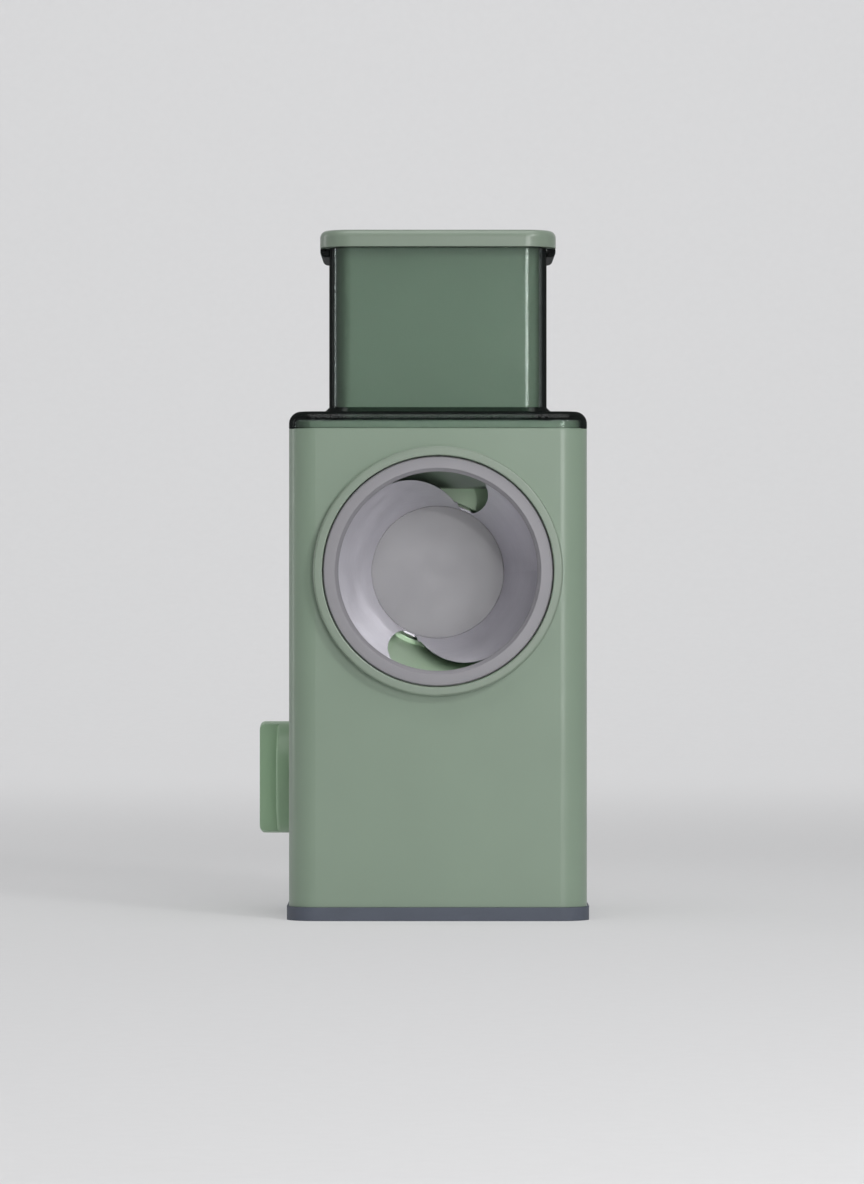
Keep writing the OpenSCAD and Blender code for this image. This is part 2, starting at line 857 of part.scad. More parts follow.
module drum_cone() {
    tail = y_disc + sheet_tail;
    front_out_r = sheet_front_r + sheet;
    back_out_r = cone_back_r + sheet;
    color("#c9cacd")
        on_axis()
            difference() {
                rotate([-90, 0, 0])
                    rotate_extrude()
                        polygon([
                            [sheet_front_r, y_sheet], [front_out_r, y_sheet], [front_out_r, y_taper],
                            [back_out_r, y_disc], [back_out_r, tail], [cone_back_r, tail],
                            [cone_back_r, y_disc], [sheet_front_r, y_taper]
                        ]);
                both_sides()
                    through_drum(y_taper + slot_land, y_disc - 1)
                        slot_outline();
            }
}

// Cutting edges laid on the cone along each slot's swept side, standing a little over the slot.
module slicing_blades() {
    blade_w = 4;
    overhang = 0.2;
    low = sheet + fit_gap;
    high = sheet + blade_h;
    y0 = y_taper + 4;
    y1 = y_disc - 9;
    color("#dfe1e4")
        on_axis()
            both_sides()
                intersection() {
                    difference() {
                        cone_y(cone_r(y0) + high, cone_r(y1) + high, y0, y1);
                        cone_y(cone_r(y0 - 1) + low, cone_r(y1 + 1) + low, y0 - 1, y1 + 1);
                    }
                    through_drum(y0 - 1, y1 + 1)
                        intersection() {
                            translate(sweep_at)
                                difference() {
                                    circle(r = sweep_r + overhang);
                                    circle(r = sweep_r - blade_w);
                                }
                            translate([sweep_at[0] - sweep_r * 0.4, head_at[1] - head_hole_r - 4])
                                square([sweep_r, mouth_r]);
                        }
                }
}

module drum_hub() {
    color("#a9a8ad")
        on_axis()
            difference() {
                union() {
                    rod_y(cone_back_r - fit_gap, y_disc, y_hub_flange + EPS);
                    rod_y(hub_flange_r, y_hub_flange, y_hub_flange + hub_flange_t);
                    rod_y(hub_boss_r, y_hub_flange, y_hub_end);
                    for (a = [0:60:300])
                        rotate([0, a, 0])
                            translate([hub_boss_r - 1, y_hub_flange, -1])
                                cube([hub_flange_r - hub_boss_r - 1, hub_flange_t + 3, 2]);
                }
                hex_y(drive_af + 2 * slide_gap, y_hub_flange, y_hub_end + 1);
            }
}

// ---- crank ----

module drive_shaft() {
    color("#b9bcc0")
        on_axis()
            difference() {
                union() {
                    hex_y(drive_af, y_hub_flange + 0.5, y_thrust + 1);
                    rod_y(shaft_r + 2.6, y_thrust, y_thrust + thrust_t);
                    rod_y(shaft_r, y_thrust, y_crank);
                    hex_y(drive_af, y_crank - 1, y_crank + crank_hub_t - 3);
                }
                rod_y(screw_r, y_crank - 2, y_crank + crank_hub_t);
            }
}

module crank_arm() {
    color("#8fa98f")
        on_axis()
            difference() {
                union() {
                    rod_y(crank_hub_r, y_crank, y_crank + crank_hub_t);
                    rod_y(crank_hub_r + 1, y_arm, y_arm + arm_t);
                    translate([0, y_arm + arm_t, 0])
                        rotate([90, 0, 0])
                            linear_extrude(arm_t)
                                polygon([
                                    [-crank_hub_r, 0], [-arm_half, -crank_r],
                                    [arm_half, -crank_r], [crank_hub_r, 0]
                                ]);
                    translate([0, 0, -crank_r])
                        rod_y(pin_boss_r, y_arm, y_arm + arm_t);
                }
                hex_y(drive_af + 2 * fit_gap, y_crank - 1, y_crank + crank_hub_t - 2.9);
                rod_y(screw_r + 0.2, y_crank, y_crank + crank_hub_t + 1);
                rod_y(head_r + 0.4, y_crank + crank_hub_t - 1.4, y_crank + crank_hub_t + 1);
                // long shallow channel down the arm's back
                translate([0, y_arm + arm_t + 1, 0])
                    rotate([90, 0, 0])
                        linear_extrude(3)
                            polygon([
                                [-6, -crank_hub_r - 4], [-4, -crank_r + pin_boss_r + 3],
                                [4, -crank_r + pin_boss_r + 3], [6, -crank_hub_r - 4]
                            ]);
                translate([0, 0, -crank_r])
                    rod_y(pin_r + fit_gap, y_arm - 1, y_arm + arm_t + 1);
                translate([0, 0, -crank_r])
                    rod_y(pin_r + 2.4, y_arm - 1, y_arm + 2);
            }
}

module crank_screw() {
    color("#b9bcc0")
        on_axis()
            translate([0, y_crank + crank_hub_t - 1.4, 0])
                rotate([90, 0, 0])
                    screw(9);
}

// Shoulder pin that the grip turns on, riveted over at the arm.
module grip_pin() {
    color("#b9bcc0")
        translate([0, 0, axis_z - crank_r])
            union() {
                rod_y(pin_r + 2.3, y_arm + 0.3, y_arm + 2);
                rod_y(pin_r, y_arm + 0.3, y_grip_end - grip_hollow_len + 2);
                rod_y(pin_r + 2, y_grip_end - grip_hollow_len + 0.4, y_grip_end - grip_hollow_len + pin_head_t);
            }
}

module crank_grip() {
    neck = grip_r - 2;
    bulge = grip_len * 2.2;
    color("#8fa98f")
        translate([0, 0, axis_z - crank_r])
            rotate([-90, 0, 0])
                rotate_extrude()
                    difference() {
                        intersection() {
                            translate([0, y_grip])
                                square([grip_r, grip_len]);
                            translate([grip_r - bulge, y_grip + grip_len / 2])
                                circle(r = bulge, $fn = 256);
                            union() {
                                translate([0, y_grip + 2])
                                    square([grip_r, grip_len - 4]);
                                translate([0, y_grip])
                                    square([neck - 3, grip_len]);
                                for (y = [y_grip + 2, y_grip_end - 2])
                                    translate([neck - 3.2, y])
                                        circle(r = 2, $fn = 32);
                            }
                        }
                        translate([-1, y_grip - 1])
                            square([pin_r + slide_gap + 1, grip_len + 2]);
                        translate([-1, y_grip_end - grip_hollow_len])
                            square([grip_hollow_r + 1, grip_hollow_len + 1]);
                    }
}

module grip_cap() {
    color("#a6bba3")
        translate([0, 0, axis_z - crank_r])
            difference() {
                rod_y(grip_hollow_r - fit_gap, y_grip_end - 4.2, y_grip_end);
                rod_y(grip_hollow_r - 1.5, y_grip_end - 5, y_grip_end - 1.4);
            }
}

body_shell();
drum_chamber();
front_collar();
rear_bush();
chamber_screws();
foot_pad();
base_cover();
base_screws();
suction_cup();
stem_yoke();
clamp_washer();
stem_screw();
cam_shaft();
lift_cam();
shaft_clip();
lock_knob();
knob_screw();
feed_hopper();
pusher_body();
pusher_cap();
drum_front_ring();
drum_cone();
slicing_blades();
drum_hub();
drive_shaft();
crank_arm();
crank_screw();
grip_pin();
crank_grip();
grip_cap();
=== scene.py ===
"""Rotary drum vegetable slicer: finishes, rubber parts, studio and camera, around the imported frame."""

import logging
import math
from dataclasses import dataclass, field
from enum import Enum
from typing import Any, Sequence

import bpy
import numpy as np
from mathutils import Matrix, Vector


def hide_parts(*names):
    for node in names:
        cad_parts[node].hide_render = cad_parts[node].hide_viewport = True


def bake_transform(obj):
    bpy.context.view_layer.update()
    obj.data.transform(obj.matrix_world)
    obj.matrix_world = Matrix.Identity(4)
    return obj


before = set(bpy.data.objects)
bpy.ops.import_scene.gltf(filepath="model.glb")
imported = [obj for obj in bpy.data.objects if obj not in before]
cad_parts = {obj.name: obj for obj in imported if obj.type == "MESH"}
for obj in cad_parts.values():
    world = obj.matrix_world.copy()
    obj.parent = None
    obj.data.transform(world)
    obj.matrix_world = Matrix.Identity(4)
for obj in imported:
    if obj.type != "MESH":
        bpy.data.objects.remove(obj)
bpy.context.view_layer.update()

MM = 0.001
# a pattern of s millimetres has the scale PER_M / s on coordinates in metres
PER_M = 1000
LOG = logging.getLogger("slicer")
IMAGE_PX = (864, 1184)
# height of the drum's axis, in metres, and the middle of its mouth
AXIS_Z = 0.1285
MOUTH = (0.0, -0.05, AXIS_Z)
# nearly all of a noise's values lie between these
NOISE_LOW, NOISE_HIGH = 0.3, 0.7
# a Mix node's colour sockets share their names with its other sockets, so they go by number
MIX_A, MIX_B, MIXED = 6, 7, 2
# rays that round off an edge
EDGE_SAMPLES = 4

Point = tuple[float, float, float]
Pair = tuple[float, float]


class Body(str, Enum):
    """The rigid bodies that the soft cup sits between."""

    HOUSING = "housing"
    SUCTION = "suction"


class Lay(Enum):
    """Which way a steel sheet's grinding lines run."""

    ROUND = "round the drum's axis"
    CROSS = "straight across the piece"


# ---- colour and nodes ----


def linear(code: str, gain: float = 1.0) -> tuple[float, float, float, float]:
    """Turns an sRGB hex colour into linear RGBA.

    Args:
        code: Six hex digits.
        gain: Factor on the linear colour.

    Returns:
        Linear red, green and blue with alpha 1.
    """
    srgb = np.array([int(code[i:i + 2], 16) for i in (0, 2, 4)]) / 255.0
    rgb = gain * np.where(srgb <= 0.04045, srgb / 12.92, ((srgb + 0.055) / 1.055) ** 2.4)
    return (*map(float, rgb), 1.0)


def add(tree: bpy.types.NodeTree, kind: str, inputs: dict[Any, Any] | None = None,
        **settings: Any) -> bpy.types.Node:
    """Adds a node with its settings, values and links.

    Args:
        tree: The node tree that gets the node.
        kind: The node's type name.
        inputs: Socket name or number to a value, or to the output socket that feeds it.
        **settings: Properties of the node itself.

    Returns:
        The new node.
    """
    node = tree.nodes.new(kind)
    for name, value in settings.items():
        setattr(node, name, value)
    for name, value in (inputs or {}).items():
        if isinstance(value, bpy.types.NodeSocket):
            tree.links.new(value, node.inputs[name])
        else:
            node.inputs[name].default_value = value
    return node


def seen(tree: bpy.types.NodeTree) -> bpy.types.NodeSocket:
    """Tells what is looked at from what gives light.

    Args:
        tree: The node tree that gets the nodes.

    Returns:
        A socket that is 1 for what the camera, a gloss or a clear piece shows, and 0 for light.
    """
    path = add(tree, "ShaderNodeLightPath").outputs
    direct = add(tree, "ShaderNodeMath",
                 {0: path["Is Camera Ray"], 1: path["Is Glossy Ray"]}, operation="MAXIMUM")
    both = add(tree, "ShaderNodeMath",
               {0: direct.outputs[0], 1: path["Is Transmission Ray"]}, operation="MAXIMUM")
    return both.outputs[0]


# ---- finishes ----


@dataclass(frozen=True)
class Finish:
    """What every finish has: a name, and the start of its node tree."""

    name: str

    def start(self) -> tuple[bpy.types.Material, bpy.types.NodeTree, bpy.types.Node,
                             bpy.types.NodeSocket]:
        """Makes the empty material.

        Returns:
            The material, its tree, its output node and the Object coordinates' socket, in metres.
        """
        material = bpy.data.materials.new(self.name)
        material.use_nodes = True
        tree = material.node_tree
        tree.nodes.clear()
        out = add(tree, "ShaderNodeOutputMaterial")
        return material, tree, out, add(tree, "ShaderNodeTexCoord").outputs["Object"]

    def tones(self, tree: bpy.types.NodeTree, pattern: bpy.types.NodeSocket, colour: str,
              spread: float) -> bpy.types.NodeSocket:
        """Varies a colour with a pattern: darker where the pattern is low, lighter where it is high.

        Args:
            tree: The finish's node tree.
            pattern: A noise.
            colour: The colour in the middle, as sRGB hex.
            spread: How much darker and lighter it gets, as a share of the colour.

        Returns:
            The colour's socket.
        """
        share = add(tree, "ShaderNodeMapRange",
                    {"Value": pattern, "From Min": NOISE_LOW, "From Max": NOISE_HIGH})
        mix = add(tree, "ShaderNodeMix",
                  {0: share.outputs["Result"], MIX_A: linear(colour, 1 - spread),
                   MIX_B: linear(colour, 1 + spread)}, data_type="RGBA")
        return mix.outputs[MIXED]

    def patches(self, tree: bpy.types.NodeTree, place: bpy.types.NodeSocket, patch_mm: float,
                detail: float, rough: Pair) -> bpy.types.NodeSocket:
        """Lays out smoother and rougher patches.

        Args:
            tree: The finish's node tree.
            place: The Object coordinates.
            patch_mm: Size of a patch.
            detail: Octaves of smaller patches inside it.
            rough: The lowest and the highest roughness.

        Returns:
            The roughness's socket.
        """
        noise = add(tree, "ShaderNodeTexNoise",
                    {"Vector": place, "Scale": PER_M / patch_mm, "Detail": detail})
        share = add(tree, "ShaderNodeMapRange",
                    {"Value": noise.outputs["Fac"], "From Min": NOISE_LOW, "From Max": NOISE_HIGH,
                     "To Min": rough[0], "To Max": rough[1]})
        return share.outputs["Result"]


@dataclass(frozen=True)
class MouldedAbs(Finish):
    """ABS, injection moulded, fine satin: an even colour with a soft sheen and softened edges."""

    colour: str
    roughness: float = 0.42
    edge_mm: float = 0.4
    ior: float = 1.54
    polish: float = 0.15
    polish_roughness: float = 0.15
    drift_mm: float = 38.0
    tone_spread: float = 0.025
    touch_mm: float = 14.0
    touch_spread: float = 0.03
    peel_mm: float = 1.8
    peel_depth_mm: float = 0.004

    def build(self) -> bpy.types.Material:
        """Makes the satin plastic.

        Returns:
            The material.
        """
        material, tree, out, place = self.start()
        # the pigment's tone drifts a little over a few centimetres, along the mould's flow
        drift = add(tree, "ShaderNodeTexNoise",
                    {"Vector": place, "Scale": PER_M / self.drift_mm, "Detail": 2.0})
        tone = self.tones(tree, drift.outputs["Fac"], self.colour, self.tone_spread)
        # handling leaves the sheen slightly uneven
        rough = self.patches(tree, place, self.touch_mm, 4.0,
                             (self.roughness - self.touch_spread, self.roughness + self.touch_spread))
        # the mould's own fine unevenness
        peel = add(tree, "ShaderNodeTexNoise",
                   {"Vector": place, "Scale": PER_M / self.peel_mm, "Detail": 2.0})
        # every moulded edge is a little round
        edge = add(tree, "ShaderNodeBevel", {"Radius": self.edge_mm * MM}, samples=EDGE_SAMPLES)
        bump = add(tree, "ShaderNodeBump",
                   {"Height": peel.outputs["Fac"], "Distance": self.peel_depth_mm * MM,
                    "Strength": 1.0, "Normal": edge.outputs["Normal"]})
        surface = add(tree, "ShaderNodeBsdfPrincipled",
                      {"Base Color": tone, "Roughness": rough, "IOR": self.ior,
                       "Normal": bump.outputs["Normal"],
                       # the mould's polish lays a thin sharp line along a rounding, over the soft sheen
                       "Coat Weight": self.polish, "Coat Roughness": self.polish_roughness,
                       "Coat Normal": edge.outputs["Normal"]})
        tree.links.new(surface.outputs["BSDF"], out.inputs["Surface"])
        return material


@dataclass(frozen=True)
class SmokySan(Finish):
    """SAN, moulded clear with a smoke tint: pale through one wall, with painted shade that makes it
    nearly black along an edge.
    """

    tint: Point = (0.46, 0.56, 0.535)
    density: float = 150.0
    roughness: float = 0.04
    ior: float = 1.57
    edge_mm: float = 0.5
    face: str = "eff2f0"
    # the colour at a slant: partly more smoke in the line of sight, partly painted shade
    rim: str = "3c4341"
    # painted shade: the dark surface that fills the outline
    painted_outline_colour: str = "191c1b"
    painted_outline_roughness: float = 0.3
    gloss: str = "8a8c8b"
    lamp_share: str = "b4b9b5"
    slanted: Pair = (0.1, 0.36)
    outlined: Pair = (0.27, 0.42)
    outline_share: float = 0.92
    flat_part: Pair = (0.97, 0.995)
    flat_shift: float = 0.48
    wave_mm: float = 9.0
    wave_depth_mm: float = 0.0006

    def reach(self, tree: bpy.types.NodeTree, normal: bpy.types.NodeSocket,
              corner: Pair) -> tuple[bpy.types.NodeSocket, bpy.types.NodeSocket]:
        """Finds between which slants a surface darkens: early round a corner, late on a flat wall.

        A wall is flat where its normal's largest part is 1; there both limits lie flat_shift further.

        Args:
            tree: The finish's node tree.
            normal: The normal, in the world.
            corner: The two limits round a corner, as the layer weight's facing value.

        Returns:
            The sockets of the two limits.
        """
        own = add(tree, "ShaderNodeVectorTransform", {"Vector": normal},
                  vector_type="NORMAL", convert_from="WORLD", convert_to="OBJECT")
        size = add(tree, "ShaderNodeVectorMath", {0: own.outputs[0]}, operation="ABSOLUTE")
        parts = add(tree, "ShaderNodeSeparateXYZ", {0: size.outputs[0]}).outputs
        side = add(tree, "ShaderNodeMath", {0: parts["X"], 1: parts["Y"]}, operation="MAXIMUM")
        most = add(tree, "ShaderNodeMath", {0: side.outputs[0], 1: parts["Z"]}, operation="MAXIMUM")
        low, high = self.flat_part
        flat = add(tree, "ShaderNodeMapRange",
                   {"Value": most.outputs[0], "From Min": low, "From Max": high})
        start, full = (add(tree, "ShaderNodeMath",
                           {0: flat.outputs["Result"], 1: self.flat_shift, 2: limit},
                           operation="MULTIPLY_ADD").outputs[0] for limit in corner)
        return start, full

    def build(self) -> bpy.types.Material:
        """Makes the clear plastic, which lets lamps through to what stands behind it.

        Returns:
            The material.
        """
        material, tree, out, place = self.start()
        waves = add(tree, "ShaderNodeTexNoise",
                    {"Vector": place, "Scale": PER_M / self.wave_mm, "Detail": 1.0})
        # every moulded edge is a little round, and the painted shade shows it as a dark line
        edge = add(tree, "ShaderNodeBevel", {"Radius": self.edge_mm * MM}, samples=EDGE_SAMPLES)
        # faint moulding waves bend the reflections
        bump = add(tree, "ShaderNodeBump",
                   {"Height": waves.outputs["Fac"], "Distance": self.wave_depth_mm * MM,
                    "Strength": 1.0, "Normal": edge.outputs["Normal"]})
        # a wall that is seen at a slant has more smoke in the line of sight, and painted shade darkens
        # its colour further, most of all round a corner
        slant = add(tree, "ShaderNodeLayerWeight", {"Blend": 0.5, "Normal": edge.outputs["Normal"]})
        start, full = self.reach(tree, edge.outputs["Normal"], self.slanted)
        share = add(tree, "ShaderNodeMapRange",
                    {"Value": slant.outputs["Facing"], "From Min": start, "From Max": full})
        tone = add(tree, "ShaderNodeMix",
                   {0: share.outputs["Result"], MIX_A: linear(self.face), MIX_B: linear(self.rim)},
                   data_type="RGBA")
        clear = add(tree, "ShaderNodeBsdfPrincipled",
                    {"Base Color": tone.outputs[MIXED], "Roughness": self.roughness, "IOR": self.ior,
                     "Specular Tint": linear(self.gloss),
                     "Transmission Weight": 1.0, "Normal": bump.outputs["Normal"]})
        # painted shade: along its outline a dark, barely shining surface takes the glass's place, so
        # hardly any light comes through
        start, full = self.reach(tree, edge.outputs["Normal"], self.outlined)
        outline = add(tree, "ShaderNodeMapRange",
                      {"Value": slant.outputs["Facing"], "From Min": start, "From Max": full,
                       "To Max": self.outline_share})
        dark = add(tree, "ShaderNodeBsdfPrincipled",
                   {"Base Color": linear(self.painted_outline_colour), "Roughness": self.painted_outline_roughness, "IOR": self.ior,
                    "Specular IOR Level": 0.0, "Normal": bump.outputs["Normal"]})
        rimmed = add(tree, "ShaderNodeMixShader",
                     {0: outline.outputs["Result"], 1: clear.outputs["BSDF"], 2: dark.outputs["BSDF"]})
        passing = add(tree, "ShaderNodeBsdfTransparent", {"Color": linear(self.lamp_share)})
        path = add(tree, "ShaderNodeLightPath")
        both = add(tree, "ShaderNodeMixShader",
                   {0: path.outputs["Is Shadow Ray"], 1: rimmed.outputs["Shader"],
                    2: passing.outputs["BSDF"]})
        smoke = add(tree, "ShaderNodeVolumeAbsorption",
                    {"Color": (*self.tint, 1.0), "Density": self.density})
        tree.links.new(both.outputs["Shader"], out.inputs["Surface"])
        tree.links.new(smoke.outputs["Volume"], out.inputs["Volume"])
        return material


@dataclass(frozen=True)
class SteelSheet(Finish):
    """Stainless steel, grade 304: a grey metal whose fine grinding lines stretch its highlights."""

    colour: str
    roughness: float = 0.5
    lay: Lay = Lay.ROUND
    line_mm: float = 0.4
    line_depth_mm: float = 0.003
    tone_spread: float = 0.05
    stretch: float = 0.9
    turn_mm: float = 3.0
    straight_share: float = 0.04
    cloud_mm: float = 11.0
    cloud_spread: float = 0.04
    edge_mm: float = 0.12

    def lines(self, tree: bpy.types.NodeTree, place: bpy.types.NodeSocket) -> bpy.types.NodeSocket:
        """Lays a noise out as lines: it changes fast across them and hardly along them.

        Round the axis, a point is (angle x turn_mm, y, distance from the axis); straight across, it is
        (x times straight_share, y, z).

        Args:
            tree: The finish's node tree.
            place: The Object coordinates.

        Returns:
            The pattern's socket.
        """
        parts = add(tree, "ShaderNodeSeparateXYZ", {"Vector": place})
        x, y, z = (parts.outputs[axis] for axis in "XYZ")
        if self.lay is Lay.ROUND:
            up = add(tree, "ShaderNodeMath", {0: z, 1: AXIS_Z}, operation="SUBTRACT").outputs[0]
            arm = add(tree, "ShaderNodeCombineXYZ", {"X": x, "Z": up}).outputs[0]
            radius = add(tree, "ShaderNodeVectorMath", {0: arm}, operation="LENGTH").outputs["Value"]
            angle = add(tree, "ShaderNodeMath", {0: up, 1: x}, operation="ARCTAN2").outputs[0]
            slow = add(tree, "ShaderNodeMath",
                       {0: angle, 1: self.turn_mm * MM}, operation="MULTIPLY").outputs[0]
            spot = add(tree, "ShaderNodeCombineXYZ", {"X": slow, "Y": y, "Z": radius}).outputs[0]
        else:
            slow = add(tree, "ShaderNodeMath",
                       {0: x, 1: self.straight_share}, operation="MULTIPLY").outputs[0]
            spot = add(tree, "ShaderNodeCombineXYZ", {"X": slow, "Y": y, "Z": z}).outputs[0]
        noise = add(tree, "ShaderNodeTexNoise",
                    {"Vector": spot, "Scale": PER_M / self.line_mm, "Detail": 3.0})
        return noise.outputs["Fac"]

    def across(self, tree: bpy.types.NodeTree) -> bpy.types.NodeSocket:
        """Finds the direction square to the lines, in which a highlight is drawn out.

        Args:
            tree: The finish's node tree.

        Returns:
            The direction's socket.
        """
        run = {"Y": 1.0} if self.lay is Lay.ROUND else {"Z": 1.0}
        # the lines turn with the piece
        turned = add(tree, "ShaderNodeVectorTransform",
                     {"Vector": add(tree, "ShaderNodeCombineXYZ", run).outputs[0]},
                     vector_type="VECTOR", convert_from="OBJECT", convert_to="WORLD")
        return turned.outputs[0]

    def build(self) -> bpy.types.Material:
        """Makes the ground metal.

        Returns:
            The material.
        """
        material, tree, out, place = self.start()
        lines = self.lines(tree, place)
        tone = self.tones(tree, lines, self.colour, self.tone_spread)
        # the grinding bites a little unevenly
        rough = self.patches(tree, place, self.cloud_mm, 2.0,
                             (self.roughness - self.cloud_spread, self.roughness + self.cloud_spread))
        edge = add(tree, "ShaderNodeBevel", {"Radius": self.edge_mm * MM}, samples=EDGE_SAMPLES)
        bump = add(tree, "ShaderNodeBump",
                   {"Height": lines, "Distance": self.line_depth_mm * MM, "Strength": 1.0,
                    "Normal": edge.outputs["Normal"]})
        surface = add(tree, "ShaderNodeBsdfPrincipled",
                      {"Base Color": tone, "Metallic": 1.0, "Roughness": rough,
                       "Anisotropic": self.stretch, "Tangent": self.across(tree),
                       "Normal": bump.outputs["Normal"]})
        tree.links.new(surface.outputs["BSDF"], out.inputs["Surface"])
        return material


@dataclass(frozen=True)
class SoftRubber(Finish):
    """Thermoplastic rubber, moulded matt: dark and even, hardly shining, with a fine dusty grain."""

    colour: str
    roughness: float = 0.62
    ior: float = 1.5
    dust_mm: float = 12.0
    tone_spread: float = 0.06
    grain_mm: float = 0.6
    grain_depth_mm: float = 0.02
    edge_mm: float = 0.5

    def build(self) -> bpy.types.Material:
        """Makes the matt rubber.

        Returns:
            The material.
        """
        material, tree, out, place = self.start()
        dust = add(tree, "ShaderNodeTexNoise",
                   {"Vector": place, "Scale": PER_M / self.dust_mm, "Detail": 5.0})
        tone = self.tones(tree, dust.outputs["Fac"], self.colour, self.tone_spread)
        grain = add(tree, "ShaderNodeTexNoise",
                    {"Vector": place, "Scale": PER_M / self.grain_mm, "Detail": 2.0})
        edge = add(tree, "ShaderNodeBevel", {"Radius": self.edge_mm * MM}, samples=EDGE_SAMPLES)
        bump = add(tree, "ShaderNodeBump",
                   {"Height": grain.outputs["Fac"], "Distance": self.grain_depth_mm * MM,
                    "Strength": 1.0, "Normal": edge.outputs["Normal"]})
        surface = add(tree, "ShaderNodeBsdfPrincipled",
                      {"Base Color": tone, "Roughness": self.roughness, "IOR": self.ior,
                       "Normal": bump.outputs["Normal"]})
        tree.links.new(surface.outputs["BSDF"], out.inputs["Surface"])
        return material


@dataclass(frozen=True)
class BackdropPaper(Finish):
    """Matt studio paper: pale and even, without shine. Part of its tone doesn't depend on the lamps."""

    colour: str
    tone: str = "d7d7d8"
    even_share: float = 0.45
    fibre_mm: float = 6.0
    tone_spread: float = 0.012

    def build(self) -> bpy.types.Material:
        """Makes the paper.

        Returns:
            The material.
        """
        material, tree, out, place = self.start()
        fibre = add(tree, "ShaderNodeTexNoise",
                    {"Vector": place, "Scale": PER_M / self.fibre_mm, "Detail": 4.0})
        paper = add(tree, "ShaderNodeBsdfDiffuse",
                    {"Color": self.tones(tree, fibre.outputs["Fac"], self.colour, self.tone_spread)})
        even = add(tree, "ShaderNodeEmission", {"Color": linear(self.tone), "Strength": 1.0})
        share = add(tree, "ShaderNodeMath", {0: seen(tree), 1: self.even_share}, operation="MULTIPLY")
        both = add(tree, "ShaderNodeMixShader",
                   {0: share.outputs[0], 1: paper.outputs["BSDF"], 2: even.outputs["Emission"]})
        tree.links.new(both.outputs["Shader"], out.inputs["Surface"])
        return material


# ---- surfaces ----


def grid_faces(rows: int, cols: int, close_rows: bool = False, close_cols: bool = False) -> np.ndarray:
    """Lists the quads of a grid of vertices numbered row by row.

    Quad (i, j) joins vertices (i, j), (i, j+1), (i+1, j+1) and (i+1, j); a closed direction wraps round.

    Args:
        rows: Number of rows.
        cols: Number of vertices in a row.
        close_rows: Whether the last row joins the first.
        close_cols: Whether each row closes on itself.

    Returns:
        An array of quads, four vertex numbers each.
    """
    i = np.arange(rows if close_rows else rows - 1)
    j = np.arange(cols if close_cols else cols - 1)
    a, b = np.meshgrid(i, j, indexing="ij")
    a1, b1 = (a + 1) % rows, (b + 1) % cols
    return np.stack([a * cols + b, a * cols + b1, a1 * cols + b1, a1 * cols + b], axis=-1).reshape(-1, 4)


def mesh_piece(name: str, verts: np.ndarray, faces: np.ndarray,
               material: bpy.types.Material) -> bpy.types.Object:
    """Puts a smooth surface into a new object at the origin.

    Args:
        name: The object's name.
        verts: Vertex places in metres, one row each.
        faces: Vertex numbers, one row for each face.
        material: The finish.

    Returns:
        The new object.
    """
    mesh = bpy.data.meshes.new(name)
    mesh.from_pydata(verts.reshape(-1, 3).tolist(), [], faces.tolist())
    mesh.update()
    mesh.polygons.foreach_set("use_smooth", np.full(len(mesh.polygons), True))
    mesh.materials.append(material)
    piece = bpy.data.objects.new(name, mesh)
    bpy.context.scene.collection.objects.link(piece)
    return piece


def rounded_profile(points: Sequence[Point], steps: int) -> np.ndarray:
    """Rounds the corners of a closed outline.

    Each corner P with radius r becomes the arc that is tangent to both of its edges: it starts and ends
    r / tan(half the corner's angle) from P and is sampled in equal turns.

    Args:
        points: Corners in order, each (u, v, radius).
        steps: Arc samples for a rounded corner.

    Returns:
        The outline as an array of (u, v).
    """
    out: list[np.ndarray] = []
    pts = [np.array(p[:2], float) for p in points]
    for k, (_, _, r) in enumerate(points):
        p, before, after = pts[k], pts[k - 1], pts[(k + 1) % len(pts)]
        if r <= 0:
            out.append(p[None])
            continue
        d0 = (before - p) / np.linalg.norm(before - p)
        d1 = (after - p) / np.linalg.norm(after - p)
        half = math.acos(float(np.clip(d0 @ d1, -1, 1))) / 2
        back = r / math.tan(half)
        middle = p + (d0 + d1) / np.linalg.norm(d0 + d1) * (r / math.sin(half))
        start, end = p + d0 * back - middle, p + d1 * back - middle
        a0 = math.atan2(start[1], start[0])
        sweep = (math.atan2(end[1], end[0]) - a0 + math.pi) % (2 * math.pi) - math.pi
        a = a0 + np.linspace(0, 1, steps) * sweep
        out.append(middle + r * np.stack([np.cos(a), np.sin(a)], axis=1))
    return np.concatenate(out)


def revolve(profile: np.ndarray, segments: int) -> tuple[np.ndarray, np.ndarray]:
    """Carries a closed (radius, height) outline round the Z axis.

    The vertex for outline point (r, h) and angle t is (r cos t, r sin t, h).

    Args:
        profile: The outline, one (r, h) row each.
        segments: Steps round the axis.

    Returns:
        Vertices and quads.
    """
    t = np.linspace(0, 2 * np.pi, segments, endpoint=False)
    r, h = profile[:, 0], profile[:, 1]
    verts = np.stack([np.outer(np.cos(t), r), np.outer(np.sin(t), r),
                      np.broadcast_to(h, (segments, len(h)))], axis=-1)
    return verts.reshape(-1, 3), grid_faces(segments, len(profile), True, True)


# ---- the machine ----


